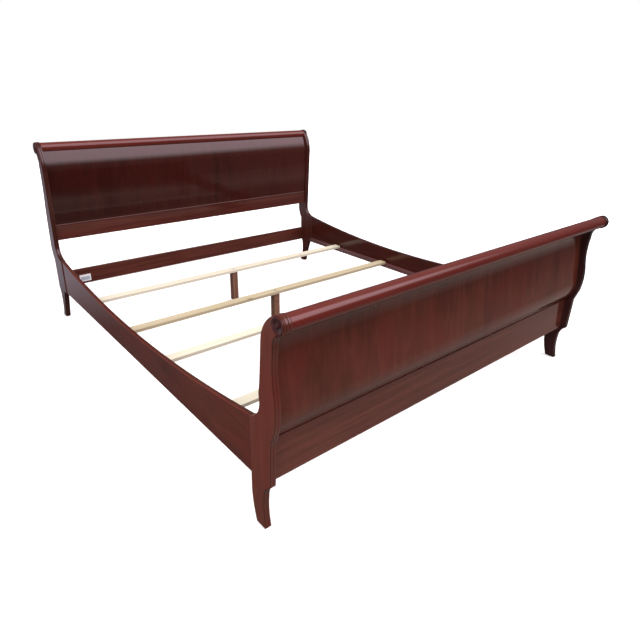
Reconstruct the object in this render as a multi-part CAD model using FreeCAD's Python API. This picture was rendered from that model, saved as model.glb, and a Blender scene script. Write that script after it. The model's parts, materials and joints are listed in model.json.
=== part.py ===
import FreeCAD, Part
import math
import os

V = FreeCAD.Vector

# Sleigh bed for a California king mattress.  Millimetres, +Z up.  The origin is on the
# floor, under the middle of the bed.  +Y points to the headboard, +X is the sleeper's
# left when lying face up.  Both end boards are drawn in their own plane, as (out, z):
# "out" is measured away from the mattress, from the flat face of the board's lowest rail.

# ---- driving dimensions: the whole bed ----
LENGTH = 2382.0           # crest roll to crest roll
POST_SPAN = 1940.0        # over the outer faces of the posts
POST_T = 26.0             # thickness of a post board
GLIDE_H = 3.0             # nylon glide under each post
RAIL_LOW = 187.0          # underside of the side rails and of both lowest rails
FIT = 0.1                 # radial room round a dowel or a screw

# ---- footboard ----
FOOT_ROLL = (85.0, 775.0)     # centre of the scroll, (out, z)
FOOT_ROLL_R = 31.0
FOOT_JOINT = -75.0            # edge of the post that the side rail meets
FOOT_RAIL_TOP = 346.0
FOOT_RAIL_T = 26.0
FOOT_PANEL_LOW = 353.0
GROOVE_STRIP = (-14.0, -6.0)  # back and front of the strip in the groove under the panel

# ---- headboard ----
HEAD_ROLL = (28.0, 1021.0)
HEAD_ROLL_R = 33.0
HEAD_JOINT = -112.0
STRETCHER_TOP = 282.0
STRETCHER_T = 22.0
PANEL_RAIL_LOW = 490.0
PANEL_RAIL_TOP = 577.0
PANEL_RAIL_FACE = -16.0       # front face of the flat rail under the head panel
HEAD_PANEL_LOW = 584.0
PANEL_T = 20.0
BUTTON_R = 6.0                # button in the middle of each rosette
CREST_INSET = 3.5             # the crest rails are this much slimmer than the scrolls

# ---- dowels between the posts and the members that join them: (out, z) of each ----
DOWEL_R = 4.0
DOWEL_IN_POST = 15.0
DOWEL_IN_RAIL = 25.0
FOOT_DOWELS = [(-13.0, 225.0), (-13.0, 300.0), FOOT_ROLL]
HEAD_DOWELS = [(11.0, 212.0), (11.0, 256.0), (-5.0, 512.0), (-5.0, 555.0), HEAD_ROLL]

# ---- rosettes, glides and label ----
ROSETTE_INSET = 3.0           # the discs are this much slimmer than the scrolls
ROSETTE_T = 5.0
ROSETTE_RIM = 5.0             # width of the raised rim
ROSETTE_DISH = 2.0            # depth of the sunk ring
GLIDE_R = 10.0
LABEL_X = (-852.0, -784.0)
LABEL_Z = (200.0, 244.0)
LABEL_T = 0.4

# ---- side rails ----
RAIL_T = 20.0
RAIL_INSET = 4.0              # rail face behind the post face
RAIL_END_FOOT = 408.0         # top of the rail at the foot post, in its middle, at the head post
RAIL_MIDDLE = 318.0
RAIL_END_HEAD = 388.0
RAIL_GAP = 0.6                # between the rail's end and the post
RAIL_LIFT = 14.0              # how far a rail is raised to unhook it
CLEAT_W = 30.0
CLEAT_H = 22.0
CLEAT_LOW = 193.0
CLEAT_END_GAP = 4.0
CLEAT_SCREWS = 7
CLEAT_SCREW = (46.0, 2.2, 4.4, 3.0)   # length, shank radius, head radius, head height
CLEAT_SCREW_END = 90.0                # from the rail's end to its first screw

# ---- rail hardware ----
HOOK_X = POST_SPAN / 2 - 13.5     # middle of the plates
PLATE_W = 14.0
PLATE_T = 3.0
PLATE_Z = (224.0, 368.0)
HOOK_Z = (248.0, 314.0)           # seats of the two hooks
HOOK_H = 20.0
HOOK_T = 3.0
HOOK_DROP = 10.0
HOOK_REACH = 9.0
SLOT_ROOM = 1.0               # round a hook in its slot
HOOK_POCKET = 4.0             # half the width of the pocket behind a slot
PLATE_SCREW = (1.8, 3.4, 2.4)     # shank radius, head radius, head height
POST_SCREW_LENGTH = 28.0
HOOK_SCREW_LENGTH = 32.0
PLATE_SCREW_EDGE = 8.0        # from the plate's end to its screw

# ---- slats and their legs ----
SLAT_W = 54.0
SLAT_T = 16.0
SLATS = ((0.0, 397.0), (0.0, 890.0), (-9.0, 1278.0), (0.0, 1764.0))  # middle: x, and y from the foot rail
SLAT_END_GAP = 13.0           # at each end of a centred slat
SEAT_GAP = 0.2                # between a slat and its cleat
LEG_W = 38.0
LEG_LOW = 18.0                # underside of the wooden leg
BOLT_R = 4.0
BOLT_HEAD_R = 8.0
BOLT_HEAD_H = 3.5
BOLT_SINK = 4.0
BOLT_LENGTH = 72.0
NUT_R = 6.0
BUSH_R = 8.0                  # threaded bush in the end of the leg
BUSH_H = 14.0
STEM_R = 4.0
STEM_TOP = 52.0
STEM_ROOM = 12.0              # free bore above the stem, for screwing it in
PAD_R = 15.0
PAD_H = 6.0

# ---- derived places ----
FOOT_Y = -LENGTH / 2 + FOOT_ROLL[0] + FOOT_ROLL_R
HEAD_Y = LENGTH / 2 - HEAD_ROLL[0] - HEAD_ROLL_R
POST_IN = POST_SPAN / 2 - POST_T
RAIL_OUT = POST_SPAN / 2 - RAIL_INSET
RAIL_IN = RAIL_OUT - RAIL_T
CLEAT_TOP = CLEAT_LOW + CLEAT_H
SLAT_LOW = CLEAT_TOP + SEAT_GAP
SLAT_TOP = SLAT_LOW + SLAT_T
BOLT_LOW = SLAT_TOP - BOLT_SINK - BOLT_LENGTH
NUT_Z = BOLT_LOW + 8.0

FOOT = {"y": FOOT_Y, "sign": -1.0, "joint": FOOT_JOINT}
HEAD = {"y": HEAD_Y, "sign": 1.0, "joint": HEAD_JOINT}


def at(end, out, z, x=0.0):
    """A point of an end board, from its own (out, z)."""
    return V(x, end["y"] + end["sign"] * out, z)


def outline(end, start, *moves):
    """A closed face at x = 0.  A move is (end point,) or (point on the arc, end point)."""
    edges = []
    here = at(end, *start)
    for move in moves:
        there = at(end, *move[-1])
        if len(move) == 1:
            edges.append(Part.LineSegment(here, there).toShape())
        else:
            edges.append(Part.Arc(here, at(end, *move[0]), there).toShape())
        here = there
    return Part.Face(Part.Wire(edges))


def spread(face, x_from, x_to):
    """A face at x = 0, drawn out between two x."""
    solid = face.extrude(V(x_to - x_from, 0, 0))
    solid.translate(V(x_from, 0, 0))
    return solid


def block(x, y, z):
    """A box from three (low, high) pairs, given in either order."""
    low = V(min(x), min(y), min(z))
    return Part.makeBox(abs(x[1] - x[0]), abs(y[1] - y[0]), abs(z[1] - z[0]), low)


def board_block(end, x, out, z):
    """A box of an end board, with its depth given as out."""
    return block(x, (at(end, out[0], 0).y, at(end, out[1], 0).y), z)


def rod(start, direction, radius, length):
    return Part.makeCylinder(radius, length, start, direction)


def screw(start, direction, length, radius, head_r, head_h, extra=0.0):
    """A countersunk screw from its head, or the hole for it when extra is its room."""
    shank = rod(start, direction, radius + extra, length + extra)
    head = Part.makeCone(head_r + extra, radius + extra, head_h, start, direction)
    return shank.fuse(head).removeSplitter()


def left_of(shape):
    """The same piece on the other side of the bed."""
    return shape.mirror(V(0, 0, 0), V(1, 0, 0))


def both(shapes):
    """Pieces of the right side, with their mirror images."""
    return list(shapes) + [left_of(shape) for shape in shapes]


def cut_all(shape, tools):
    return shape.cut(Part.makeCompound(list(tools)))


# ---- joinery between the end boards' rails and posts ----
def dowels(end, places, extra=0.0):
    length = DOWEL_IN_POST + DOWEL_IN_RAIL
    right = []
    for out, z in places:
        start = at(end, out, z, POST_IN - DOWEL_IN_RAIL - extra)
        right.append(rod(start, V(1, 0, 0), DOWEL_R + extra, length + 2 * extra))
    return right


# ---- rail hardware ----
def plate_screw_holes(end, extra):
    """Two screws in each post plate and two in each hook plate, clear of the hooks."""
    post_side = []
    rail_side = []
    joint = end["joint"]
    for z in (PLATE_Z[0] + PLATE_SCREW_EDGE, PLATE_Z[1] - PLATE_SCREW_EDGE):
        into_post = V(0, end["sign"], 0)
        seat = at(end, joint, z, HOOK_X)
        post_side.append(screw(seat, into_post, POST_SCREW_LENGTH, *PLATE_SCREW, extra))
        seat = at(end, joint - RAIL_GAP, z, HOOK_X)
        rail_side.append(screw(seat, into_post * -1, HOOK_SCREW_LENGTH, *PLATE_SCREW, extra))
    return post_side, rail_side


def post_plate(end):
    joint = end["joint"]
    half = PLATE_W / 2
    plate = board_block(end, (HOOK_X - half, HOOK_X + half), (joint, joint + PLATE_T), PLATE_Z)
    slots = []
    for seat in HOOK_Z:
        x = (HOOK_X - HOOK_T / 2 - SLOT_ROOM, HOOK_X + HOOK_T / 2 + SLOT_ROOM)
        z = (seat - 0.5, seat + HOOK_H + RAIL_LIFT + SLOT_ROOM)
        slots.append(board_block(end, x, (joint - 1, joint + PLATE_T + 1), z))
    return cut_all(plate, slots + plate_screw_holes(end, FIT)[0])


def hook_plate(end):
    joint = end["joint"]
    half = PLATE_W / 2
    face = joint - RAIL_GAP
    plate = board_block(end, (HOOK_X - half, HOOK_X + half), (face - PLATE_T, face), PLATE_Z)
    behind = joint + PLATE_T + 0.6
    x = (HOOK_X - HOOK_T / 2, HOOK_X + HOOK_T / 2)
    for seat in HOOK_Z:
        top = seat + HOOK_H
        plate = plate.fuse(board_block(end, x, (face - 1, joint + HOOK_REACH), (seat, top)))
        plate = plate.fuse(board_block(end, x, (behind, joint + HOOK_REACH), (seat - HOOK_DROP, top)))
    return plate.removeSplitter().cut(Part.makeCompound(plate_screw_holes(end, FIT)[1]))


def post_pockets(end):
    """Room in the post for its plate and, behind the slots, for the hooks."""
    joint = end["joint"]
    half = PLATE_W / 2
    rooms = [board_block(end, (HOOK_X - half, HOOK_X + half), (joint - 1, joint + PLATE_T), PLATE_Z)]
    for seat in HOOK_Z:
        z = (seat - HOOK_DROP - 2, seat + HOOK_H + RAIL_LIFT + 3)
        x = (HOOK_X - HOOK_POCKET, HOOK_X + HOOK_POCKET)
        rooms.append(board_block(end, x, (joint, joint + HOOK_REACH + 4), z))
    return rooms


# ---- end boards ----
def on_roll(roll, radius, degrees):
    """A point of a scroll's circle; 0 degrees points out, 90 up."""
    angle = math.radians(degrees)
    return roll[0] + radius * math.cos(angle), roll[1] + radius * math.sin(angle)


def foot_post_outline():
    """Scroll, hollow neck, bellied shoulder, square waist, cove and sabre leg."""
    joint = FOOT_JOINT
    return outline(
        FOOT, (-2, GLIDE_H),
        ((-12, 70), (-10, 125)), ((2, 165), (26, 189)), ((27, 194),),
        ((33, 350),), ((42, 378), (52, 408)), ((58.5, 455), (56, 530)), ((47, 622), (52, 690)),
        ((61, 726), on_roll(FOOT_ROLL, FOOT_ROLL_R, -97)),
        (on_roll(FOOT_ROLL, FOOT_ROLL_R, 0), on_roll(FOOT_ROLL, FOOT_ROLL_R, 90)),
        ((24, 765), (-4, 690)), ((-11, 600), (-20, 505)), ((-35, 436), (joint, RAIL_END_FOOT)),
        ((joint, 150),), ((-70, 75), (-50, GLIDE_H)), ((-2, GLIDE_H),))


def head_post_outline():
    joint = HEAD_JOINT
    return outline(
        HEAD, (34, GLIDE_H),
        ((12, 60), (8, 130)), ((14, 168), (28, 189)), ((29, 194),),
        ((31, 361),), ((50, 396), (61, 440)), ((52, 600), (28, 750)), ((17, 850), (14, 935)),
        ((16, 973), on_roll(HEAD_ROLL, HEAD_ROLL_R, -95)),
        (on_roll(HEAD_ROLL, HEAD_ROLL_R, 0), on_roll(HEAD_ROLL, HEAD_ROLL_R, 90)),
        ((-27, 985), (-44, 870)), ((-37, 690), (-28, 480)), ((-50, 410), (joint, RAIL_END_HEAD)),
        ((joint, RAIL_LOW),), ((-74, RAIL_LOW),), ((-43, 95), (-18, GLIDE_H)), ((34, GLIDE_H),))


def post(end, face, dowel_places):
    board = spread(face, POST_IN, POST_SPAN / 2)
    holes = dowels(end, dowel_places, FIT) + post_pockets(end) + plate_screw_holes(end, FIT)[0]
    return cut_all(board, holes)


def across(end, face, dowel_places=()):
    """A member that runs from post to post, drilled at both ends."""
    member = spread(face, -POST_IN, POST_IN)
    holes = both(dowels(end, dowel_places, FIT))
    return cut_all(member, holes) if holes else member


def crest(end, roll, radius):
    start = at(end, roll[0], roll[1], -POST_IN)
    rail = rod(start, V(1, 0, 0), radius, 2 * POST_IN)
    return cut_all(rail, both(dowels(end, [roll], FIT)))


def crest_room(end, roll, radius):
    return rod(at(end, roll[0], roll[1], -POST_SPAN), V(1, 0, 0), radius, 2 * POST_SPAN)


def foot_panel(crest_r):
    """A bent panel: belly below, hollow above, thickened into a cove under the crest."""
    low = FOOT_PANEL_LOW
    face = outline(
        FOOT, (2, low),
        ((31, 402), (38, 455)), ((28, 560), (20, 640)), ((26, 705), (66, 762)),
        ((66, 789),), ((14, 724), (0, 640)), ((8, 560), (18, 455)), ((11, 402), (-12, low)),
        ((2, low),))
    return across(FOOT, face).cut(crest_room(FOOT, FOOT_ROLL, crest_r + 0.05))


def head_panel(crest_r):
    """A bent panel that leans back at its top, under the rolled crest."""
    low = HEAD_PANEL_LOW
    face = outline(
        HEAD, (-18, low),
        ((-26, 730), (-30, 870)), ((-23, 945), (4, 1008)),
        ((28, 1000),), ((0, 935), (-30 + PANEL_T, 870)), ((-26 + PANEL_T, 730), (-18 + PANEL_T, low)),
        ((-18, low),))
    return across(HEAD, face).cut(crest_room(HEAD, HEAD_ROLL, crest_r + 0.05))


def flat_rail(end, out, z, dowel_places=()):
    corners = [(out[0], z[0]), (out[1], z[0]), (out[1], z[1]), (out[0], z[1]), (out[0], z[0])]
    face = outline(end, corners[0], *[(corner,) for corner in corners[1:]])
    return across(end, face, dowel_places)


def head_bead():
    """A half-round bead that covers the joint between the head panel and its flat rail."""
    low = PANEL_RAIL_TOP
    high = HEAD_PANEL_LOW
    back = PANEL_RAIL_FACE + 12
    nose = PANEL_RAIL_FACE - 5
    face = outline(
        HEAD, (back, low), ((back, high),), ((PANEL_RAIL_FACE - 2, high),),
        ((nose, (low + high) / 2), (PANEL_RAIL_FACE - 2, low)), ((back, low),))
    return across(HEAD, face)


def rosette(end, roll, radius):
    """A turned disc with a raised rim and a sunk ring round its button."""
    face_x = POST_SPAN / 2
    centre = at(end, roll[0], roll[1], face_x)
    along = V(1, 0, 0)
    disc = rod(centre, along, radius, ROSETTE_T)
    dish = rod(centre + along * (ROSETTE_T - ROSETTE_DISH), along, radius - ROSETTE_RIM, ROSETTE_DISH + 1)
    return disc.cut(dish).cut(rod(centre - along, along, BUTTON_R + FIT, ROSETTE_T + 3))


def rosette_button(end, roll):
    centre = at(end, roll[0], roll[1], POST_SPAN / 2)
    peg = rod(centre, V(1, 0, 0), BUTTON_R, 4.0)
    dome = Part.makeCone(BUTTON_R, BUTTON_R - 2.5, 1.0, centre + V(4, 0, 0), V(1, 0, 0))
    return peg.fuse(dome).removeSplitter()


def label():
    """A blank paper label on the front of the head stretcher."""
    return board_block(HEAD, LABEL_X, (-LABEL_T, 0), LABEL_Z)


# ---- side rails ----
def rail_end_y(end):
    return at(end, end["joint"] - RAIL_GAP, 0).y


def side_rail():
    """A board with a long hollow top edge, pocketed at both ends for its hook plates."""
    foot_y = rail_end_y(FOOT)
    head_y = rail_end_y(HEAD)
    low_foot = V(0, foot_y, RAIL_LOW)
    low_head = V(0, head_y, RAIL_LOW)
    high_foot = V(0, foot_y, RAIL_END_FOOT)
    high_head = V(0, head_y, RAIL_END_HEAD)
    middle = V(0, (foot_y + head_y) / 2, RAIL_MIDDLE)
    edges = [
        Part.LineSegment(high_foot, low_foot).toShape(),
        Part.LineSegment(low_foot, low_head).toShape(),
        Part.LineSegment(low_head, high_head).toShape(),
        Part.Arc(high_head, middle, high_foot).toShape()]
    rail = spread(Part.Face(Part.Wire(edges)), RAIL_IN, RAIL_OUT)
    rooms = cleat_screws(FIT)
    for end in (FOOT, HEAD):
        face = end["joint"] - RAIL_GAP
        x = (HOOK_X - PLATE_W / 2, HOOK_X + PLATE_W / 2)
        rooms.append(board_block(end, x, (face - PLATE_T, face + 1), PLATE_Z))
        rooms += plate_screw_holes(end, FIT)[1]
    return cut_all(rail, rooms)


def cleat_screws(extra=0.0):
    """Screws through the cleat into the rail, evenly spaced."""
    first = rail_end_y(FOOT) + CLEAT_SCREW_END
    last = rail_end_y(HEAD) - CLEAT_SCREW_END
    z = CLEAT_LOW + CLEAT_H / 2
    found = []
    for n in range(CLEAT_SCREWS):
        y = first + (last - first) * n / (CLEAT_SCREWS - 1)
        found.append(screw(V(RAIL_IN - CLEAT_W, y, z), V(1, 0, 0), *CLEAT_SCREW, extra))
    return found


def cleat():
    """The ledger strip that carries the slats."""
    y = (rail_end_y(FOOT) + CLEAT_END_GAP, rail_end_y(HEAD) - CLEAT_END_GAP)
    return cut_all(block((RAIL_IN - CLEAT_W, RAIL_IN), y, (CLEAT_LOW, CLEAT_TOP)), cleat_screws(FIT))


# ---- slats ----
def upright(radius, low, high):
    """A rod on the axis of a slat's leg."""
    return rod(V(0, 0, low), V(0, 0, 1), radius, high - low)


def crosswise(radius, length):
    """A rod through the leg at the barrel nut, along Y."""
    return rod(V(0, -length / 2, NUT_Z), V(0, 1, 0), radius, length)


def slat():
    """A slat centred on the origin's Z axis, with its counterbored bolt hole."""
    half = RAIL_IN - SLAT_END_GAP
    board = block((-half, half), (-SLAT_W / 2, SLAT_W / 2), (SLAT_LOW, SLAT_TOP))
    sink = upright(BOLT_HEAD_R + 0.5, SLAT_TOP - BOLT_SINK, SLAT_TOP + 1)
    hole = upright(BOLT_R + FIT, SLAT_LOW - 1, SLAT_TOP)
    return cut_all(board, [sink, hole])


def support_leg():
    half = LEG_W / 2
    leg = block((-half, half), (-half, half), (LEG_LOW, SLAT_LOW))
    bolt_bore = upright(BOLT_R + FIT, BOLT_LOW - 2, SLAT_LOW + 1)
    stem_bore = upright(STEM_R + 0.5, LEG_LOW - 1, STEM_TOP + STEM_ROOM)
    collar = upright(BUSH_R + FIT, LEG_LOW - 1, LEG_LOW + BUSH_H)
    return cut_all(leg, [bolt_bore, crosswise(NUT_R + FIT, LEG_W + 2), stem_bore, collar])


def leg_bolt():
    """A furniture bolt, its head sunk in the slat."""
    seat = SLAT_TOP - BOLT_SINK
    shank = upright(BOLT_R, BOLT_LOW, seat)
    head = upright(BOLT_HEAD_R, seat, seat + BOLT_HEAD_H)
    socket = upright(2.6, seat + BOLT_HEAD_H - 2.2, seat + BOLT_HEAD_H + 1)
    return shank.fuse(head).removeSplitter().cut(socket)


def leg_inserts():
    """The barrel nut that the bolt pulls on, and the threaded bush in the end of the leg."""
    nut = crosswise(NUT_R, 24.0).cut(upright(BOLT_R + FIT, NUT_Z - 2 * NUT_R, NUT_Z + 2 * NUT_R))
    bush = upright(BUSH_R, LEG_LOW, LEG_LOW + BUSH_H)
    return [nut, bush.cut(upright(STEM_R + 0.4, LEG_LOW - 1, LEG_LOW + BUSH_H + 1))]


def leveller_pad():
    """A round nylon pad, with its stem it screws up into the leg."""
    pad = upright(PAD_R, 0, PAD_H)
    rim = [edge for edge in pad.Edges if edge.BoundBox.ZMin > PAD_H - 0.01]
    return pad.makeFillet(2.0, rim)


# ---- small parts under the posts ----
def glide(end, out):
    """A nylon glide nailed under a post."""
    centre = at(end, out, 0, POST_SPAN / 2 - POST_T / 2)
    return rod(centre, V(0, 0, 1), GLIDE_R, GLIDE_H)


def sided(name, right):
    """The right-hand piece and its mirror image, as two nodes."""
    return {name + "_right": right, name + "_left": left_of(right)}


def foot_board():
    crest_r = FOOT_ROLL_R - CREST_INSET
    low_rail = (-FOOT_RAIL_T, 0)
    nodes = sided("foot_post", post(FOOT, foot_post_outline(), FOOT_DOWELS))
    nodes.update(sided("foot_rosette", rosette(FOOT, FOOT_ROLL, FOOT_ROLL_R - ROSETTE_INSET)))
    nodes["foot_rosette_buttons"] = both([rosette_button(FOOT, FOOT_ROLL)])
    nodes["foot_crest_rail"] = crest(FOOT, FOOT_ROLL, crest_r)
    nodes["foot_panel"] = foot_panel(crest_r)
    nodes["foot_groove_strip"] = flat_rail(FOOT, GROOVE_STRIP, (FOOT_RAIL_TOP, FOOT_PANEL_LOW))
    nodes["foot_bottom_rail"] = flat_rail(FOOT, low_rail, (RAIL_LOW, FOOT_RAIL_TOP), FOOT_DOWELS[:2])
    nodes["foot_dowels"] = both(dowels(FOOT, FOOT_DOWELS))
    return nodes


def head_board():
    crest_r = HEAD_ROLL_R - CREST_INSET
    panel_rail = (PANEL_RAIL_FACE, PANEL_RAIL_FACE + 22)
    nodes = sided("head_post", post(HEAD, head_post_outline(), HEAD_DOWELS))
    nodes.update(sided("head_rosette", rosette(HEAD, HEAD_ROLL, HEAD_ROLL_R - ROSETTE_INSET)))
    nodes["head_rosette_buttons"] = both([rosette_button(HEAD, HEAD_ROLL)])
    nodes["head_crest_rail"] = crest(HEAD, HEAD_ROLL, crest_r)
    nodes["head_panel"] = head_panel(crest_r)
    nodes["head_bead_moulding"] = head_bead()
    nodes["head_panel_rail"] = flat_rail(
        HEAD, panel_rail, (PANEL_RAIL_LOW, PANEL_RAIL_TOP), HEAD_DOWELS[2:4])
    nodes["head_stretcher"] = flat_rail(HEAD, (0, STRETCHER_T), (RAIL_LOW, STRETCHER_TOP), HEAD_DOWELS[:2])
    nodes["head_dowels"] = both(dowels(HEAD, HEAD_DOWELS))
    nodes["paper_label"] = label()
    return nodes


def side_rails():
    nodes = sided("side_rail", side_rail())
    nodes.update(sided("slat_cleat", cleat()))
    hooks = [hook_plate(FOOT), hook_plate(HEAD)]
    hook_screws = plate_screw_holes(FOOT, 0)[1] + plate_screw_holes(HEAD, 0)[1]
    right_groups = {"hook_plates": hooks, "hook_plate_screws": hook_screws, "cleat_screws": cleat_screws()}
    for name, right in right_groups.items():
        nodes[name + "_right"] = right
        nodes[name + "_left"] = [left_of(piece) for piece in right]
    return nodes


def post_hardware():
    nodes = {"post_slot_plates": both([post_plate(FOOT), post_plate(HEAD)])}
    nodes["post_plate_screws"] = both(plate_screw_holes(FOOT, 0)[0] + plate_screw_holes(HEAD, 0)[0])
    nodes["post_glides"] = both([glide(FOOT, -26), glide(HEAD, 8)])
    return nodes


def moved(shape, x, y):
    copy = shape.copy()
    copy.translate(V(x, y, 0))
    return copy


def slats():
    """Each slat with its bolt, its leg and the leg's levelling foot."""
    pieces = {"slat": [slat()], "support_leg": [support_leg()], "leg_bolt": [leg_bolt()],
              "leg_inserts": leg_inserts(), "leveller_pad": [leveller_pad()],
              "leveller_stem": [upright(STEM_R, PAD_H, STEM_TOP)]}
    nodes = {}
    for number, (x, y) in enumerate(SLATS, 1):
        for name, shapes in pieces.items():
            nodes["%s_%d" % (name, number)] = [moved(shape, x, FOOT_Y + y) for shape in shapes]
    return nodes


def export(nodes):
    os.makedirs("parts", exist_ok=True)
    for name, shape in nodes.items():
        if isinstance(shape, list):
            shape = Part.makeCompound(shape)
        shape.exportStep("parts/%s.step" % name)


ALL = {}
for family in (foot_board(), head_board(), side_rails(), post_hardware(), slats()):
    ALL.update(family)
export(ALL)
print(len(ALL), "nodes")
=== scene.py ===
import json
import math

import bmesh
import bpy
from mathutils import Matrix, Vector

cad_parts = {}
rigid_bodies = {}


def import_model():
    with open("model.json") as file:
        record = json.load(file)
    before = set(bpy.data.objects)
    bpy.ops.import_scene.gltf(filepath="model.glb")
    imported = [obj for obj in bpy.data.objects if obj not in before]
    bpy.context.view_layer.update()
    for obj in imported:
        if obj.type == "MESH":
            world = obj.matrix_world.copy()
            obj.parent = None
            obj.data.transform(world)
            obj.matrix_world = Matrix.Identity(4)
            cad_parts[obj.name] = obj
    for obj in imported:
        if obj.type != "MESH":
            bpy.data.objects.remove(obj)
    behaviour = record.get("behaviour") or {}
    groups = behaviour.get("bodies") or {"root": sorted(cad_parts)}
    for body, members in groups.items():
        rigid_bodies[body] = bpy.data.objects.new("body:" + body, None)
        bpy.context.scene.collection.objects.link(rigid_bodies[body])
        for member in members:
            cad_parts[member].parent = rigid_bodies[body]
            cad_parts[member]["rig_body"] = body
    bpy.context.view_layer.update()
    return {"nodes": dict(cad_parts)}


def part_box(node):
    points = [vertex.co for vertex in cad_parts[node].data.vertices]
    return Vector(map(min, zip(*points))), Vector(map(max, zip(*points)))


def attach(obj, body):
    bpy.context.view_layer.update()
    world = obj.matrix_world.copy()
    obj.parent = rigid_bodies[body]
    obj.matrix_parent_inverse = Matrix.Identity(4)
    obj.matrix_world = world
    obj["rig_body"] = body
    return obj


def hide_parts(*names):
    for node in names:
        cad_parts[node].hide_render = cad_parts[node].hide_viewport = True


# Sleigh bed.  Metres, +Z up, +Y to the headboard.  Each visible piece is drawn from the outline
# or the mesh of the CAD node that it stands for, and rides on that node's body.

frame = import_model()

MM = 0.001
TOUCH = 1e-5                          # points nearer than this are one point
UP = Vector((0, 0, 1))
CORNER = math.radians(30)             # an outline that turns more than this has a corner
STRAIGHT = 60 * MM                    # a span longer than this is a straight line
ROLL_STEP = 2 * MM                    # distance between points on the crest rolls' outlines
SHEET_STEP = 3 * MM                   # the same on panels and posts
SHARP = math.radians(38)              # edges sharper than this keep a crisp shading line


# ---- reading the frame ----
def merged(node):
    """A CAD node's mesh with its split corners joined."""
    bm = bmesh.new()
    bm.from_mesh(frame["nodes"][node].data)
    bmesh.ops.remove_doubles(bm, verts=bm.verts[:], dist=TOUCH)
    return bm


def body_of(node):
    return frame["nodes"][node]["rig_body"]


def closed_chains(edges):
    """The edges' closed loops, each as a list of vertices in order."""
    near = {}
    for edge in edges:
        first, second = edge.verts
        near.setdefault(first, []).append(second)
        near.setdefault(second, []).append(first)
    loops = []
    while near:
        here = next(iter(near))
        loop = []
        while here in near:
            loop.append(here)
            ahead = [v for v in near.pop(here) if v in near]
            here = ahead[0] if ahead else None
        loops.append(loop)
    return loops


def signed_area(loop):
    pairs = zip(loop, loop[1:] + loop[:1])
    return sum(a.x * b.y - a.y * b.x for a, b in pairs) / 2


def outline(node):
    """The outline of a node's outermost face across X, as (y, z) points, anticlockwise."""
    low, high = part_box(node)
    x = high.x if abs(high.x) > abs(low.x) + TOUCH else low.x
    bm = merged(node)
    face = {f for f in bm.faces if all(abs(v.co.x - x) < TOUCH for v in f.verts)}
    rim = [e for e in bm.edges if len(face.intersection(e.link_faces)) == 1]
    loops = [[Vector((v.co.y, v.co.z)) for v in loop] for loop in closed_chains(rim)]
    bm.free()
    loop = max(loops, key=lambda points: abs(signed_area(points)))
    return loop if signed_area(loop) > 0 else loop[::-1]


def end_directions(loop):
    """The direction in which each span of an outline starts and ends."""
    count = len(loop)
    spans = [loop[(i + 1) % count] - loop[i] for i in range(count)]
    through = []
    for i in range(count):
        before, after = spans[i - 1], spans[i]
        if before.angle(after) > CORNER:
            through.append(None)
        elif before.length > STRAIGHT:
            through.append(before.normalized())
        elif after.length > STRAIGHT:
            through.append(after.normalized())
        else:
            mean = before.normalized() * after.length + after.normalized() * before.length
            through.append(mean.normalized())
    ends = []
    for i, span in enumerate(spans):
        chord = span.normalized()
        start, stop = through[i], through[(i + 1) % count]
        if span.length > STRAIGHT:
            start = stop = chord
        mirrored = [2 * chord * chord.dot(d) - d if d else chord for d in (stop, start)]
        ends.append((start or mirrored[0], stop or mirrored[1]))
    return ends


def refined(loop, step):
    """The same outline with more points, on a smooth curve where it isn't straight."""
    points = []
    count = len(loop)
    for i, (start, stop) in enumerate(end_directions(loop)):
        here, there = loop[i], loop[(i + 1) % count]
        length = (there - here).length
        parts = max(1, round(length / step))
        for k in range(parts):
            t = k / parts
            points.append(
                here * (2 * t**3 - 3 * t**2 + 1) + there * (3 * t**2 - 2 * t**3)
                + start * length * (t**3 - 2 * t**2 + t) + stop * length * (t**3 - t**2))
    low = Vector((min(p.x for p in loop), min(p.y for p in loop)))
    high = Vector((max(p.x for p in loop), max(p.y for p in loop)))
    return [Vector((min(max(p.x, low.x), high.x), min(max(p.y, low.y), high.y))) for p in points]


def inward(loop):
    """For each point, the way into the outline: longer at a corner, so that its sides stay parallel."""
    ways = []
    for i, here in enumerate(loop):
        before = (here - loop[i - 1]).normalized()
        after = (loop[(i + 1) % len(loop)] - here).normalized()
        mean = (before + after).normalized()
        ways.append(Vector((-mean.y, mean.x)) / max(0.6, mean.dot(before)))
    return ways


# ---- making pieces ----
def add_piece(name, mesh, material, *nodes):
    """A visible piece that stands for one or more CAD nodes."""
    piece = bpy.data.objects.new(name, mesh)
    bpy.context.scene.collection.objects.link(piece)
    mesh.materials.clear()
    mesh.materials.append(material)
    mesh.shade_smooth()
    mesh.set_sharp_from_angle(angle=SHARP)
    flat = piece.modifiers.new("flat_faces", "WEIGHTED_NORMAL")
    flat.keep_sharp = True
    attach(piece, body_of(nodes[0]))
    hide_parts(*nodes)


def skin(name, rings, edge_wear_and_highlight=None, shade=None):
    """A closed mesh over rings of points, capped at both ends.

    Each point takes two numbers: how worn its edge is, which the lacquer also paints lighter as a
    highlight, and how much painted shade it takes."""
    bm = bmesh.new()
    painted = {"edge_wear_and_highlight": edge_wear_and_highlight, "shade": shade}
    layers = [(bm.verts.layers.float.new(key), values) for key, values in painted.items()]
    rows = []
    for i, ring in enumerate(rings):
        rows.append([bm.verts.new(point) for point in ring])
        for layer, values in layers:
            for j, vert in enumerate(rows[-1]):
                vert[layer] = values[i][j] if values else 0.0
    for row, following in zip(rows, rows[1:]):
        for j in range(len(row)):
            k = (j + 1) % len(row)
            bm.faces.new((row[j], row[k], following[k], following[j]))
    bm.faces.new(rows[0][::-1])
    bm.faces.new(rows[-1])
    bmesh.ops.recalc_face_normals(bm, faces=bm.faces[:])
    mesh = bpy.data.meshes.new(name)
    bm.to_mesh(mesh)
    bm.free()
    return mesh


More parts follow.
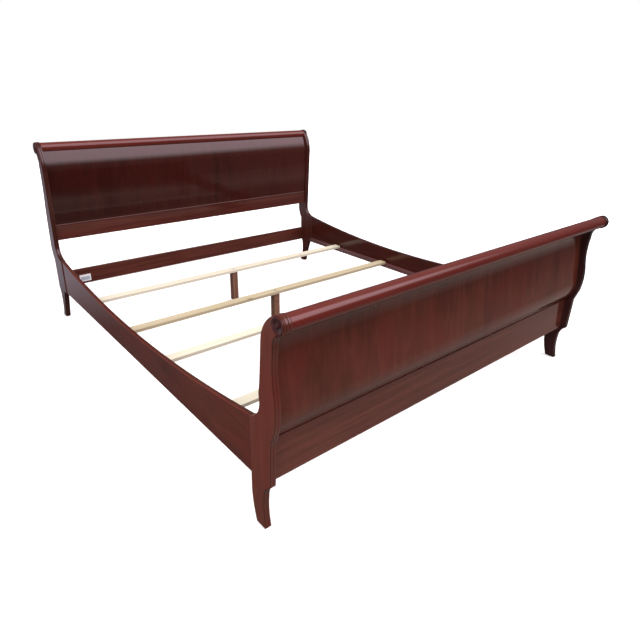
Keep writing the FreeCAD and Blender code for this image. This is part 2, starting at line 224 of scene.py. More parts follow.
def eased(node, name, material, width, segments=2):
    """A copy of a CAD node with its sharp edges eased."""
    bm = merged(node)
    bmesh.ops.dissolve_limit(
        bm, angle_limit=math.radians(0.5), verts=bm.verts[:], edges=bm.edges[:])
    sharp = [e for e in bm.edges if e.is_manifold and e.calc_face_angle() > SHARP]
    # The bevels are marked as worn edges, which the lacquer also paints lighter as a highlight.
    layer = bm.verts.layers.float.new("edge_wear_and_highlight")
    made = bmesh.ops.bevel(
        bm, geom=sharp, offset=width, segments=segments, profile=0.5,
        affect="EDGES", clamp_overlap=True)
    for face in made["faces"]:
        for vert in face.verts:
            vert[layer] = 1.0
    mesh = bpy.data.meshes.new(name)
    bm.to_mesh(mesh)
    bm.free()
    add_piece(name, mesh, material, node)


def turned(name, profile, centre, axis, segments=64):
    """A mesh turned about an axis through centre.  profile is (radius, height) from rim to tip."""
    turn = UP.rotation_difference(axis).to_matrix()
    rings = []
    for radius, height in profile:
        ring = []
        for k in range(segments):
            angle = 2 * math.pi * k / segments
            around = Vector((radius * math.cos(angle), radius * math.sin(angle), height))
            ring.append(centre + turn @ around)
        rings.append(ring)
    return skin(name, rings)


# ---- materials ----
class Nodes:
    """A short way to write a node tree."""

    def __init__(self, tree):
        self.tree = tree
        tree.nodes.clear()

    def add(self, kind, inputs=None, **settings):
        node = self.tree.nodes.new(kind)
        for name, value in settings.items():
            setattr(node, name, value)
        for key, value in (inputs or {}).items():
            if isinstance(value, bpy.types.NodeSocket):
                self.tree.links.new(value, node.inputs[key])
            else:
                node.inputs[key].default_value = value
        return node

    def noise(self, vector, scale, detail=4.0, rough=0.55, distortion=0.0):
        inputs = {"Vector": vector, "Scale": scale, "Detail": detail,
                  "Roughness": rough, "Distortion": distortion}
        return self.add("ShaderNodeTexNoise", inputs).outputs["Fac"]

    def math(self, operation, first, second=0.0):
        return self.add("ShaderNodeMath", {0: first, 1: second}, operation=operation).outputs[0]

    def spread(self, value, low, high, out_low=0.0, out_high=1.0):
        """value from low to high, drawn out to out_low to out_high."""
        inputs = {"Value": value, "From Min": low, "From Max": high,
                  "To Min": out_low, "To Max": out_high}
        return self.add("ShaderNodeMapRange", inputs).outputs[0]

    def mix(self, share, first, second):
        """The colour first, turning to second as share goes from 0 to 1."""
        inputs = {0: share, 6: first, 7: second}
        return self.add("ShaderNodeMix", inputs, data_type="RGBA").outputs[2]

    def stretched(self, along, ratio):
        """Object coordinates drawn out along one axis, so that noise runs with the grain."""
        place = self.add("ShaderNodeTexCoord").outputs["Object"]
        scale = [1.0 / ratio if letter == along else 1.0 for letter in "XYZ"]
        return self.add("ShaderNodeMapping", {"Vector": place, "Scale": scale}).outputs[0]

    def painted(self, layer):
        """A layer of numbers stored in the mesh."""
        return self.add("ShaderNodeAttribute", attribute_name=layer).outputs["Fac"]

    def surface(self, base, rough, height, strength, distance, others=None):
        """The finished surface: its colour, roughness and bump, and any other inputs."""
        bump = self.add("ShaderNodeBump", {"Height": height, "Strength": strength, "Distance": distance})
        inputs = {"Base Color": base, "Roughness": rough, "Normal": bump.outputs[0]}
        inputs.update(others or {})
        if "Coat Weight" in inputs:
            inputs["Coat Normal"] = bump.outputs[0]
        shader = self.add("ShaderNodeBsdfPrincipled", inputs)
        self.add("ShaderNodeOutputMaterial", {"Surface": shader.outputs[0]})


def new_material(name):
    material = bpy.data.materials.new(name)
    material.use_nodes = True
    return material, Nodes(material.node_tree)


def colour(red, green, blue):
    return red, green, blue, 1.0


def lacquered(name, along, dark, light, figure=1.0, flitches=0.0, drift=0.0, run=9.0):
    """Stained cherry under a glossy lacquer, with its grain along one axis.

    flitches is the width of a leaf of veneer, drift how much lighter the veneer grows for
    each metre to the right, and run how many times longer than wide its bands are."""
    material, n = new_material(name)
    grain = n.stretched(along, 26.0)
    bands = n.noise(n.stretched(along, run), 26.0, 3.0, 0.5, 0.9)
    streaks = n.noise(grain, 170.0, 5.0, 0.6)
    pores = n.noise(n.stretched(along, 60.0), 900.0, 3.0, 0.7)
    patches = n.noise(n.stretched(along, 2.4), 6.5, 3.0, 0.55, 0.6)
    tone = n.math("ADD", n.math("MULTIPLY", bands, 0.74), n.math("MULTIPLY", streaks, 0.26))
    tone = n.math("ADD", tone, n.math("MULTIPLY", n.math("SUBTRACT", patches, 0.5), 0.6 * figure))
    if flitches:
        place = n.add("ShaderNodeTexCoord").outputs["Object"]
        across = n.add("ShaderNodeSeparateXYZ", {0: place}).outputs[0]
        leaf = n.math("FLOOR", n.math("DIVIDE", n.math("ADD", across, 5.0), flitches))
        chance = n.add("ShaderNodeTexWhiteNoise", {"W": leaf}, noise_dimensions="1D").outputs[0]
        tone = n.math("ADD", tone, n.math("MULTIPLY", n.math("SUBTRACT", chance, 0.5), 0.24))
        tone = n.math("ADD", tone, n.math("MULTIPLY", across, drift))
    half = 0.29 / figure
    base = n.mix(n.spread(tone, 0.51 - half, 0.51 + half), colour(*dark), colour(*light))
    flame = n.noise(n.stretched(along, 2.0), 5.0, 2.0, 0.5, 0.8)
    red = colour(0.88 * light[0], 0.50 * light[1], 0.55 * light[2])
    base = n.mix(n.spread(flame, 0.45, 0.68, 0.0, 0.55 * figure), base, red)
    base = n.mix(n.spread(pores, 0.60, 0.72, 0.0, 0.45), base, colour(*[0.35 * c for c in dark]))
    # Worn edges, partly real rubbing and partly a painted highlight: they turn lighter than the wood's
    # light colour.
    rubbed_and_highlit = n.math("MULTIPLY", n.painted("edge_wear_and_highlight"), n.spread(n.noise(grain, 60.0), 0.42, 0.70))
    worn_and_highlight = colour(*[1.6 * c for c in light])
    base = n.mix(n.math("MULTIPLY", rubbed_and_highlit, 0.45), base, worn_and_highlight)
    # Painted shade: where the shade layer is set, the colour turns towards near-black.
    base = n.mix(n.math("MULTIPLY", n.painted("shade"), 0.85), base, colour(*[0.14 * c for c in dark]))
    smudges = n.noise(n.stretched(along, 2.0), 9.0, 4.0)
    rough = n.spread(smudges, 0.3, 0.7, 0.30, 0.42)
    broad = n.noise(n.stretched(along, 2.5), 7.0, 1.0)
    height = n.math("ADD", n.math("MULTIPLY", broad, 4.0), n.math("MULTIPLY", streaks, 0.25))
    height = n.math("ADD", height, n.math("MULTIPLY", pores, 0.06))
    n.surface(base, rough, height, 0.5, 0.4 * MM, {
        "Specular IOR Level": 0.0, "Coat Weight": 1.0, "Coat Roughness": 0.10, "Coat IOR": 1.5})
    return material


def bare_wood(name, along, dark, light, rough=0.62, knots=True):
    """Unfinished or thinly stained softwood."""
    material, n = new_material(name)
    grain = n.stretched(along, 22.0)
    rings = n.noise(grain, 48.0, 3.0, 0.5, 1.0)
    fibres = n.noise(n.stretched(along, 50.0), 700.0, 4.0, 0.65)
    tone = n.math("ADD", n.math("MULTIPLY", rings, 0.7), n.math("MULTIPLY", fibres, 0.3))
    base = n.mix(n.spread(tone, 0.28, 0.72), colour(*light), colour(*dark))
    if knots:
        place = n.stretched(along, 2.2)
        far = n.add("ShaderNodeTexVoronoi", {"Vector": place, "Scale": 5.5, "Randomness": 1.0})
        knot = n.spread(far.outputs["Distance"], 0.03, 0.075, 0.75, 0.0)
        base = n.mix(knot, base, colour(*[0.38 * c for c in dark]))
    base = n.mix(n.math("MULTIPLY", n.painted("edge_wear_and_highlight"), 0.25), base, colour(*[0.8 * c for c in dark]))
    height = n.math("ADD", fibres, n.math("MULTIPLY", rings, 0.6))
    n.surface(base, n.spread(fibres, 0.3, 0.7, rough - 0.06, rough + 0.1), height, 0.6, 0.4 * MM)
    return material


def zinc(name):
    """Bright zinc plate, faintly mottled and brushed."""
    material, n = new_material(name)
    mottle = n.noise(n.stretched("Z", 1.0), 260.0, 4.0)
    brushed = n.noise(n.stretched("Z", 30.0), 1500.0, 2.0)
    base = n.mix(n.spread(mottle, 0.35, 0.65), colour(0.47, 0.47, 0.45), colour(0.63, 0.64, 0.66))
    n.surface(base, n.spread(mottle, 0.3, 0.7, 0.28, 0.46), brushed, 0.3, 0.1 * MM, {"Metallic": 1.0})
    return material


def nylon(name):
    """Ivory moulded nylon with a fine mould texture and scuffs."""
    material, n = new_material(name)
    fine = n.noise(n.stretched("Z", 1.0), 1800.0, 2.0)
    scuffs = n.noise(n.stretched("X", 4.0), 120.0, 4.0)
    base = n.mix(n.spread(scuffs, 0.5, 0.75), colour(0.62, 0.58, 0.50), colour(0.38, 0.35, 0.30))
    rough = n.spread(scuffs, 0.3, 0.7, 0.42, 0.58)
    n.surface(base, rough, fine, 0.4, 0.1 * MM, {"Subsurface Weight": 0.05})
    return material


def paper(name, low, high):
    """White label stock with a pale grey-blue panel in its middle and no printing."""
    material, n = new_material(name)
    fibres = n.noise(n.stretched("X", 2.0), 900.0, 4.0)
    base = n.mix(n.spread(fibres, 0.3, 0.7), colour(0.74, 0.76, 0.78), colour(0.86, 0.87, 0.87))
    x, _, z = n.add("ShaderNodeSeparateXYZ", {0: n.stretched("X", 1.0)}).outputs
    size, middle = high - low, (high + low) / 2
    beside = n.math("ABSOLUTE", n.math("SUBTRACT", x, middle.x))
    above = n.math("ABSOLUTE", n.math("SUBTRACT", z, middle.z - 0.08 * size.z))
    panel = n.math("MULTIPLY", n.math("LESS_THAN", beside, 0.40 * size.x),
                   n.math("LESS_THAN", above, 0.26 * size.z))
    base = n.mix(n.math("MULTIPLY", panel, 0.8), base, colour(0.26, 0.33, 0.40))
    n.surface(base, n.spread(fibres, 0.3, 0.7, 0.45, 0.6), fibres, 0.3, 0.1 * MM)
    return material


VENEER_LEAF = 0.155                   # width of a leaf of veneer

# name, grain, its dark and its light colour, how strong its figure is
cherry_up = lacquered("cherry_up", "Z", (0.080, 0.0175, 0.0110), (0.188, 0.048, 0.030), 0.8)
# A near-black copy of the post cherry, painted shade: the far foot post takes it, and the groove strip
# takes it as a painted shadow line.
cherry_far_painted_shade = lacquered("cherry_post_painted_shade", "Z", (0.016, 0.0050, 0.0060), (0.040, 0.0115, 0.0115), 0.8)
cherry_head = lacquered("cherry_head_post", "Z", (0.042, 0.0098, 0.0072), (0.098, 0.026, 0.018), 0.8)
cherry_turned = lacquered("cherry_turned", "Z", (0.038, 0.0075, 0.0070), (0.076, 0.0165, 0.0145))
cherry_across = lacquered(
    "cherry_across", "X", (0.040, 0.0102, 0.0067), (0.094, 0.0262, 0.0178), 0.42, run=3.5)
cherry_crest = lacquered("cherry_crest", "X", (0.070, 0.0100, 0.0072), (0.124, 0.0205, 0.0142), 0.6)
cherry_shade = lacquered("cherry_shade", "X", (0.038, 0.0084, 0.0062), (0.080, 0.019, 0.0135), 0.55)
cherry_long = lacquered(
    "cherry_long", "Y", (0.062, 0.0120, 0.0074), (0.150, 0.0320, 0.0190), 0.8, run=5.0)
# A darker copy of the rail cherry, painted shade: the far rail, whose inner side lies in shade, takes
# it.
cherry_long_painted_shade = lacquered(
    "cherry_long_painted_shade", "Y", (0.034, 0.0066, 0.0046), (0.078, 0.0165, 0.0110), 0.7, run=5.0)
# Lighter, mauve cherry on the cleats: a painted highlight along their tops.
cherry_cleat_painted_highlight = lacquered("cherry_cleat_painted_highlight", "Y", (0.090, 0.040, 0.040), (0.170, 0.088, 0.088), 0.7)
foot_veneer = lacquered(
    "cherry_veneer_foot", "Z", (0.046, 0.0110, 0.0068), (0.118, 0.030, 0.018), 0.8, VENEER_LEAF)
head_veneer = lacquered(
    "cherry_veneer_head", "Z", (0.020, 0.0044, 0.0035), (0.050, 0.0112, 0.0080), 0.6, VENEER_LEAF,
    drift=0.30)
pine = bare_wood("pine_pale", "X", (0.62, 0.57, 0.43), (0.74, 0.71, 0.59))
pine_tan = bare_wood("pine_tan", "X", (0.40, 0.335, 0.205), (0.55, 0.480, 0.335))
leg_brown = bare_wood("stained_leg_brown", "Z", (0.13, 0.055, 0.034), (0.30, 0.15, 0.095), 0.45, False)
birch = bare_wood("birch_dowel", "X", (0.45, 0.32, 0.19), (0.60, 0.46, 0.30), 0.6, False)
zinc_plate = zinc("zinc_plated_steel")
ivory = nylon("ivory_nylon")
label_stock = paper("label_stock", *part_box("paper_label"))


# ---- posts ----
EASE = 2.0 * MM                       # rounding of a board's edges
EASE_STEPS = 4
QUIRK = 2.0 * MM                      # depth of the lines between the reeds
REED_STEPS = 4
STATION_GAP = 0.12 * MM               # rows of points across a post's edge are no closer than this
# from, to, roundness of each reed, in mm from the outer face
REEDS = ((0.0, 4.6, 1.2), (5.6, 15.6, 0.7), (16.6, 26.0, 0.7))


def post_stations(thick):
    """Across a post's edge: distance from its outer face, plain easing, reeded depth."""
    places = []
    for k in range(EASE_STEPS + 1):
        near = EASE * (1 - math.cos(math.pi / 2 * k / EASE_STEPS))
        places += [near, thick - near]
    for start, end, _ in REEDS:
        for k in range(2 * REED_STEPS + 1):
            places.append((start + (end - start) * k / (2 * REED_STEPS)) * MM)
    for (_, end, _), (start, _, _) in zip(REEDS, REEDS[1:]):
        places.append((start + end) / 2 * MM)
    return [(u, plain_depth(u, thick), reed_depth(u)) for u in distinct(places)]


def distinct(values):
    """Sorted values, without those that nearly repeat the one before."""
    kept = []
    for value in sorted(values):
        if not kept or value - kept[-1] > STATION_GAP:
            kept.append(value)
    return kept


def plain_depth(u, thick):
    """Easing of a square edge at a distance from one face."""
    near = min(u, thick - u)
    if near >= EASE:
        return 0.0
    return EASE - math.sqrt(max(0.0, EASE**2 - (EASE - near) ** 2))


def reed_depth(u):
    """Depth of the reeded edge at a distance from the outer face."""
    for start, end, crown in REEDS:
        if start * MM - TOUCH <= u <= end * MM + TOUCH:
            share = (2 * u / MM - start - end) / (end - start)
            return crown * MM * share**2
    return QUIRK


def reeded_share(loop, joint_y):
    """1 where the edge faces the foot of the bed or up over the scroll, 0 on the plain stretches.

    The face that a side rail butts against, at joint_y, is plain too."""
    shares = []
    for here, way in zip(loop, inward(loop)):
        out = -way.normalized()
        share = min(1.0, max(0.0, (0.55 - out.x) / 0.3))
        share *= min(1.0, max(0.0, (out.y + 0.85) / 0.2))
        if abs(here.x - joint_y) < 2 * MM:
            share = 0.0
        shares.append(share)
    return shares


def soften(values, rounds):
    """Evens out a closed run of numbers."""
    count = len(values)
    for _ in range(rounds):
        values = [(values[i - 1] + values[i] + values[(i + 1) % count]) / 3 for i in range(count)]
    return values


def add_post(node, joint_y, material):
    low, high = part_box(node)
    outer = high.x if high.x > 0 else low.x
    side = math.copysign(1.0, outer)
    thick = high.x - low.x
    loop = refined(outline(node), SHEET_STEP)
    ways = inward(loop)
    shares = soften(reeded_share(loop, joint_y), 3)
    rings = []
    edge_wear_and_highlight = []
    shade = []
    for u, plain, reeded in post_stations(thick):
        depths = [plain + (reeded - plain) * share for share in shares]
        points = [here + way * depth for here, way, depth in zip(loop, ways, depths)]
        rings.append([Vector((outer - side * u, p.x, p.y)) for p in points])
        near = min(u, thick - u)
        # The eased corners are marked as worn edges, which the lacquer also paints lighter as a
        # highlight.
        edge_wear_and_highlight.append([1.0 if 0 < depth < EASE / 2 and near < EASE else 0.0 for depth in depths])
        # Painted shade: the reeded front edge is darker all along, and darker still down in the quirks.
        painted_edge_shade = 0.0 if near < TOUCH else 0.5 + 0.4 * min(1.0, reeded / QUIRK)
        shade.append([share * painted_edge_shade for share in shares])
    add_piece(node + "_board", skin(node, rings, edge_wear_and_highlight, shade), material, node)


# the posts' faces that the side rails butt against
head_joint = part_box("head_post_left")[0].y
foot_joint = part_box("foot_post_left")[1].y
for hand in ("left", "right"):
    add_post("foot_post_" + hand, foot_joint, cherry_up if hand == "left" else cherry_far_painted_shade)
    add_post("head_post_" + hand, head_joint, cherry_head)


# ---- rosettes ----
# (share of the radius, share of the height) from the rim to the edge of the button's hole
ROSETTE = (
    (1.0, 0.0), (1.0, 0.40), (0.985, 0.66), (0.94, 0.88), (0.87, 0.99), (0.80, 0.97), (0.73, 0.84),
    (0.68, 0.62), (0.64, 0.50), (0.60, 0.46), (0.54, 0.42), (0.47, 0.30), (0.42, 0.16), (0.36, 0.10),
    (0.30, 0.14), (0.26, 0.26), (0.22, 0.26))
BUTTON = ((1.0, 0.0), (1.0, 0.60), (0.93, 0.80), (0.76, 0.93), (0.50, 0.99), (0.20, 1.0))


def darken_hollows(mesh, centre, axis, height):
    """Painted shade in a turned piece's low places, with some glaze gathering there: shade is highest at
    the bottom of its hollows.
    """
    for vert, shade in zip(mesh.vertices, mesh.attributes["shade"].data):
        rise = (vert.co - centre).dot(axis) / height
        shade.value = min(0.7, max(0.0, 0.9 - 1.1 * rise))


def add_rosette(end, hand):
    node = "%s_rosette_%s" % (end, hand)
    low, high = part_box(node)
    side = 1.0 if hand == "right" else -1.0
    axis = Vector((side, 0, 0))
    centre = (low + high) / 2
    centre.x = low.x if hand == "right" else high.x
    radius = (high.z - low.z) / 2
    height = high.x - low.x
    profile = [(radius * r, height * h) for r, h in ROSETTE]
    disc = turned(node, profile, centre, axis)
    darken_hollows(disc, centre, axis, height)
    add_piece(node + "_disc", disc, cherry_turned, node)
    return centre, axis, height


def add_buttons(end, places):
    node = end + "_rosette_buttons"
    low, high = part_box(node)
    radius = (high.z - low.z) / 2
    bm = bmesh.new()
    for centre, axis, height in places:
        profile = [(radius * r, height * h) for r, h in BUTTON]
        bm.from_mesh(turned("button", profile, centre, axis, 32))
    mesh = bpy.data.meshes.new(node)
    bm.to_mesh(mesh)
    bm.free()
    add_piece(node + "_turned", mesh, cherry_shade, node)


for end in ("foot", "head"):
    add_buttons(end, [add_rosette(end, hand) for hand in ("left", "right")])


# ---- members from post to post ----
LINE_WIDTH = 2.8 * MM                 # line between the head crest and its panel
ROLL_LINE_DEPTH = 2.4 * MM
SHEET_LINE_DEPTH = 2.0 * MM


def run_across(node, name, loop, material):
    """An outline drawn out from end to end of its node."""
    low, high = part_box(node)
    steps = 24
    rings = []
    for k in range(steps + 1):
        x = low.x + (high.x - low.x) * k / steps
        rings.append([Vector((x, p.x, p.y)) for p in loop])
    add_piece(name, skin(node, rings), material, node)


def pinched(loop, place, depth, width):
    """The outline with a rounded line cut in at one place."""
    points = []
    for here, way in zip(loop, inward(loop)):
        near = max(0.0, 1.0 - ((here - place).length / width) ** 2)
        points.append(here + way * depth * near)
    return points


def meeting(roll, panel):
    """Where the front of a crest rail meets its panel: the panel's foremost point on the roll."""
    centre = sum(roll, Vector((0, 0))) / len(roll)
    radius = (roll[0] - centre).length
    touching = [p for p in panel if abs((p - centre).length - radius) < 0.6 * MM]
    return min(touching, key=lambda p: p.x)


head_roll = refined(outline("head_crest_rail"), ROLL_STEP)
head_sheet = refined(outline("head_panel"), SHEET_STEP)
head_line = meeting(head_roll, head_sheet)
lined_roll = pinched(head_roll, head_line, ROLL_LINE_DEPTH, LINE_WIDTH)
lined_sheet = pinched(head_sheet, head_line, SHEET_LINE_DEPTH, LINE_WIDTH)
run_across("head_crest_rail", "head_crest_roll", lined_roll, cherry_crest)
run_across("head_panel", "head_panel_sheet", lined_sheet, head_veneer)

foot_roll = refined(outline("foot_crest_rail"), ROLL_STEP)
foot_sheet = refined(outline("foot_panel"), SHEET_STEP)
run_across("foot_crest_rail", "foot_crest_roll", foot_roll, cherry_crest)
run_across("foot_panel", "foot_panel_sheet", foot_sheet, foot_veneer)

# The foot's groove strip takes the darkest cherry, a painted shadow in the groove.
for node, width, material in (
        ("foot_bottom_rail", 1.8, cherry_across), ("head_stretcher", 1.5, cherry_across),
        ("head_panel_rail", 1.2, cherry_shade), ("foot_groove_strip", 0.4, cherry_far_painted_shade),
        ("head_bead_moulding", 0.5, cherry_across)):
    eased(node, node + "_board", material, width * MM)


# ---- side rails ----
BEAD_R = 3.2                          # mm: bead on the outer top edge
TOP_FLAT = 1.2                        # mm: the flat beside the bead lies this much lower
INNER_ROUND = 2.6                     # mm
BEAD_WEAR_AND_HIGHLIGHT = 0.5                       # how rubbed the bead is, and how much lighter it is painted as a highlight
FLAT_SHADE = 0.55                     # painted shade: how much darker the flat beside the bead is painted


def circle_height(a, b, c):
    """Height of the arc through three (y, z) points, as a function of y."""
    d = 2 * (a.x * (b.y - c.y) + b.x * (c.y - a.y) + c.x * (a.y - b.y))
    squares = [p.length_squared for p in (a, b, c)]
    y = (squares[0] * (b.y - c.y) + squares[1] * (c.y - a.y) + squares[2] * (a.y - b.y)) / d
    z = (squares[0] * (c.x - b.x) + squares[1] * (a.x - c.x) + squares[2] * (b.x - a.x)) / d
    radius = (a - Vector((y, z))).length
    return lambda along: z - math.sqrt(radius**2 - (along - y) ** 2)


def rail_section(thick):
    """Round a rail's section, in mm: (in from the outer face, down from the top, up from the bottom).

    One of the last two is None."""
    section = [(1.6, None, 0.0), (0.5, None, 0.5), (0.0, None, 1.6)]
    for degrees in range(180, -31, -30):
        angle = math.radians(degrees)
        section.append((BEAD_R * (1 + math.cos(angle)), BEAD_R * (1 - math.sin(angle)), None))
    section += [(2 * BEAD_R + 0.5, BEAD_R + 1.4, None), (2 * BEAD_R + 1.1, TOP_FLAT + 0.6, None)]
    section.append((2 * BEAD_R + 1.9, TOP_FLAT, None))
    for degrees in (90, 60, 30, 0):
        angle = math.radians(degrees)
        t = thick - INNER_ROUND + INNER_ROUND * math.cos(angle)
        section.append((t, TOP_FLAT + INNER_ROUND * (1 - math.sin(angle)), None))
    return section + [(thick, None, 1.6), (thick - 0.5, None, 0.5), (thick - 1.6, None, 0.0)]


def place_on_top(t, from_top, thick):
    """Which part of a rail's top edge a point of its section lies on."""
    if from_top is None or not TOUCH < t < thick:
        return "side"
    return "bead" if t <= 2 * BEAD_R else "flat"


def add_side_rail(hand, material):
    node = "side_rail_" + hand
    low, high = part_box(node)
    side = 1.0 if hand == "right" else -1.0
    outer = high.x if hand == "right" else low.x
    tops = sorted((p for p in outline(node) if p.y > low.z + 0.1), key=lambda p: p.x)
    top_at = circle_height(tops[0], tops[len(tops) // 2], tops[-1])
    section = rail_section((high.x - low.x) / MM)
    places = [place_on_top(t, from_top, (high.x - low.x) / MM) for t, from_top, _ in section]
    rings = []
    edge_wear_and_highlight = []
    shade = []
    steps = 64
    for k in range(steps + 1):
        y = low.y + (high.y - low.y) * k / steps
        top = top_at(y)
        ring = []
        for t, from_top, from_bottom in section:
            z = low.z + from_bottom * MM if from_top is None else top - from_top * MM
            ring.append(Vector((outer - side * t * MM, y, z)))
        rings.append(ring)
        edge_wear_and_highlight.append([BEAD_WEAR_AND_HIGHLIGHT if place == "bead" else 0.0 for place in places])
        shade.append([FLAT_SHADE if place == "flat" else 0.0 for place in places])
    add_piece(node + "_board", skin(node, rings, edge_wear_and_highlight, shade), material, node)


for hand, material in (("left", cherry_long), ("right", cherry_long_painted_shade)):
    add_side_rail(hand, material)
    eased("slat_cleat_" + hand, "slat_cleat_%s_strip" % hand, cherry_cleat_painted_highlight, 1.2 * MM)


# ---- slats and legs ----
def numbered(stem):
    return [name for name in sorted(frame["nodes"]) if name.startswith(stem + "_")]


TAN_SLAT = "slat_3"
THREAD_DEPTH = 0.75 * MM              # levellers' stems
THREAD_PITCH = 1.25 * MM

for node in numbered("slat"):
    if "cleat" not in node:
        eased(node, node + "_board", pine_tan if node == TAN_SLAT else pine, 1.4 * MM)
for node in numbered("support_leg"):
    eased(node, node + "_post", leg_brown, 1.6 * MM)
for node in numbered("leg_bolt"):
    eased(node, node + "_steel", zinc_plate, 0.4 * MM)


def add_stem(node):
    """A leveller's stem with its screw thread."""
    low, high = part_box(node)
    radius = (high.x - low.x) / 2
    root = radius - THREAD_DEPTH
    turns = int((high.z - low.z - MM) / THREAD_PITCH)
    profile = [(root, 0.0)]
    for k in range(turns):
        z = (k + 0.5) * THREAD_PITCH
        profile.append((root, z - 0.45 * THREAD_PITCH))
        profile += [(radius, z - 0.08 * THREAD_PITCH), (radius, z + 0.08 * THREAD_PITCH)]
    profile += [(root, turns * THREAD_PITCH), (root, high.z - low.z)]
    centre = (low + high) / 2
    centre.z = low.z
    add_piece(node + "_thread", turned(node, profile, centre, UP, 24), zinc_plate, node)


for node in numbered("leveller_stem"):
    add_stem(node)
for node in numbered("leveller_pad"):
    eased(node, node + "_foot", ivory, 0.5 * MM)


# ---- hardware, glides and label ----
for node in ("post_slot_plates", "hook_plates_left", "hook_plates_right"):
    eased(node, node + "_steel", zinc_plate, 0.5 * MM)
eased("post_glides", "post_glides_nylon", ivory, 0.5 * MM)
eased("paper_label", "paper_label_sheet", label_stock, 0.1 * MM)

# CAD nodes that show as they are, in a better material
CARRIED = {"foot_dowels": birch, "head_dowels": birch, "post_plate_screws": zinc_plate,
           "hook_plate_screws_left": zinc_plate, "hook_plate_screws_right": zinc_plate,
           "cleat_screws_left": zinc_plate, "cleat_screws_right": zinc_plate}
CARRIED.update({node: zinc_plate for node in numbered("leg_inserts")})
for node, material in CARRIED.items():
    frame["nodes"][node].data.materials[0] = material


# ---- stage ----
CAMERA_PLACE = (-1.6995, -2.1758, 1.3595)
CAMERA_TURN = (39.879, 21.569, 0.830)     # degrees: right of +Y, down, roll
LENS = 29.35                              # mm
SHIFT = (0.0106, -0.0406)
WINDOW_DIRECTION = (-60, 40)              # degrees: from +X, and up
WINDOW_GLOW = 3.3


def add_floor():
    """A pale floor.  What the lacquer mirrors of it, and the light it throws back, is dimmer,
    with a lighter strip before the foot of the bed and a lighter part behind it on the left."""
    half = 9.0                        # half the floor's side
    mesh = bpy.data.meshes.new("floor")
    mesh.from_pydata(
        [(-half, -half, 0), (half, -half, 0), (half, half, 0), (-half, half, 0)], [], [(0, 1, 2, 3)])
    floor = bpy.data.objects.new("floor", mesh)
    bpy.context.scene.collection.objects.link(floor)
    material, n = new_material("floor_pale")
    seen = n.add("ShaderNodeLightPath").outputs["Is Camera Ray"]
    place = n.add("ShaderNodeTexCoord").outputs["Object"]
    x, y, _ = n.add("ShaderNodeSeparateXYZ", {0: place}).outputs
    before_foot = n.math("MULTIPLY", n.spread(y, -1.0, -1.2), n.spread(y, -2.4, -1.35))
    behind_left = n.spread(n.math("SUBTRACT", y, x), 1.9, 3.0)
    dim = n.mix(before_foot, colour(0.07, 0.07, 0.07), colour(0.28, 0.240, 0.212))
    dim = n.mix(behind_left, dim, colour(0.29, 0.295, 0.34))
    base = n.mix(seen, dim, colour(0.92, 0.92, 0.92))
    away = n.add("ShaderNodeVectorMath", {0: place}, operation="LENGTH").outputs["Value"]
    glow = n.math("MULTIPLY", seen, n.spread(away, 1.5, 5.0, 0.15, 0.9))
    shader = n.add("ShaderNodeBsdfPrincipled", {
        "Base Color": base, "Roughness": 0.9, "Specular IOR Level": 0.0,
        "Emission Color": colour(1, 1, 1), "Emission Strength": glow})
    n.add("ShaderNodeOutputMaterial", {"Surface": shader.outputs[0]})
    mesh.materials.append(material)


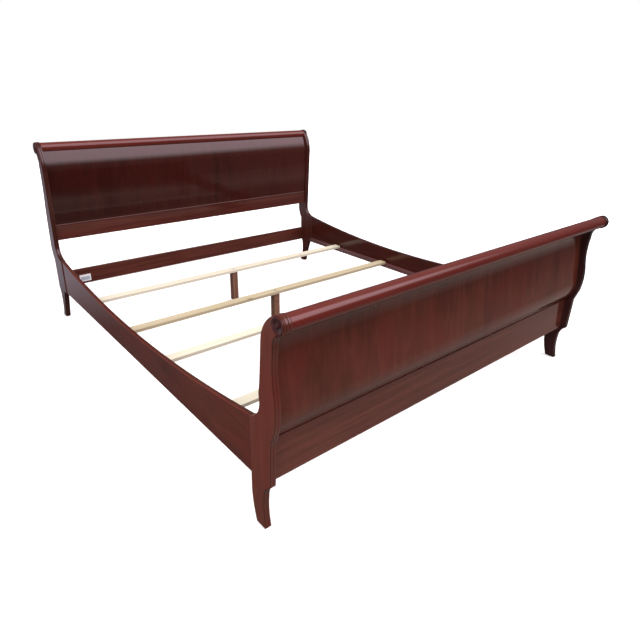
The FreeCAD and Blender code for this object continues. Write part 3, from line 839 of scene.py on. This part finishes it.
def add_sky():
    """A studio surround: white to the eye, brighter overhead, with one soft window before the foot."""
    world = bpy.data.worlds.new("surround")
    bpy.context.scene.world = world
    world.use_nodes = True
    n = Nodes(world.node_tree)
    direction = n.add("ShaderNodeTexCoord").outputs["Generated"]
    up = n.add("ShaderNodeSeparateXYZ", {0: direction}).outputs[2]
    glow = n.spread(up, -0.1, 0.8, 0.05, 0.36)
    azimuth, elevation = (math.radians(degrees) for degrees in WINDOW_DIRECTION)
    middle = (math.cos(elevation) * math.cos(azimuth), math.cos(elevation) * math.sin(azimuth),
              math.sin(elevation))
    facing = n.add("ShaderNodeVectorMath", {0: direction, 1: middle}, operation="DOT_PRODUCT")
    window = n.add("ShaderNodeMapRange", {
        "Value": facing.outputs["Value"], "From Min": 0.79, "From Max": 0.95},
        interpolation_type="SMOOTHSTEP").outputs[0]
    window = n.math("MULTIPLY", window, n.spread(up, 0.16, 0.42))
    tint = n.mix(window, colour(0.92, 0.96, 1.0), colour(1.0, 0.82, 0.91))
    glow = n.math("ADD", glow, n.math("MULTIPLY", window, WINDOW_GLOW))
    lit = n.add("ShaderNodeBackground", {"Color": tint, "Strength": glow})
    white = n.add("ShaderNodeBackground", {"Color": colour(1, 1, 1), "Strength": 1.0})
    seen = n.add("ShaderNodeLightPath").outputs["Is Camera Ray"]
    both = n.add("ShaderNodeMixShader", {0: seen, 1: lit.outputs[0], 2: white.outputs[0]})
    n.add("ShaderNodeOutputWorld", {"Surface": both.outputs[0]})


def add_soft_box(name, place, aim, size, watts, tint):
    """A wide soft lamp that the lacquer doesn't mirror."""
    light = bpy.data.lights.new(name, "AREA")
    light.shape = "RECTANGLE"
    light.size, light.size_y = size
    light.energy = watts
    light.color = tint
    lamp = bpy.data.objects.new(name, light)
    lamp.location = place
    lamp.rotation_euler = (Vector(aim) - Vector(place)).to_track_quat("-Z", "Y").to_euler()
    lamp.visible_glossy = False
    bpy.context.scene.collection.objects.link(lamp)


def add_camera():
    yaw, pitch, roll = (math.radians(degrees) for degrees in CAMERA_TURN)
    ahead = Vector((math.sin(yaw) * math.cos(pitch), math.cos(yaw) * math.cos(pitch), -math.sin(pitch)))
    right = Vector((math.cos(yaw), -math.sin(yaw), 0))
    up = right.cross(ahead)
    tilted_right = right * math.cos(roll) + up * math.sin(roll)
    tilted_up = up * math.cos(roll) - right * math.sin(roll)
    data = bpy.data.cameras.new("camera")
    data.lens = LENS
    data.shift_x, data.shift_y = SHIFT
    camera = bpy.data.objects.new("camera", data)
    turn = Matrix((tilted_right, tilted_up, -ahead)).transposed().to_4x4()
    camera.matrix_world = Matrix.Translation(CAMERA_PLACE) @ turn
    bpy.context.scene.collection.objects.link(camera)
    bpy.context.scene.camera = camera


add_floor()
add_sky()
add_soft_box(
    "overhead", place=(0.0, 0.4, 4.2), aim=(0.0, 0.4, 0.0), size=(8.0, 7.0), watts=265.0,
    tint=(1.0, 0.97, 0.95))
add_soft_box(
    "left", place=(-4.4, -3.4, 3.6), aim=(-0.95, -0.9, 0.4), size=(4.0, 3.5), watts=245.0,
    tint=(1.0, 0.95, 0.92))
add_camera()
bpy.context.scene.view_settings.view_transform = "Standard"
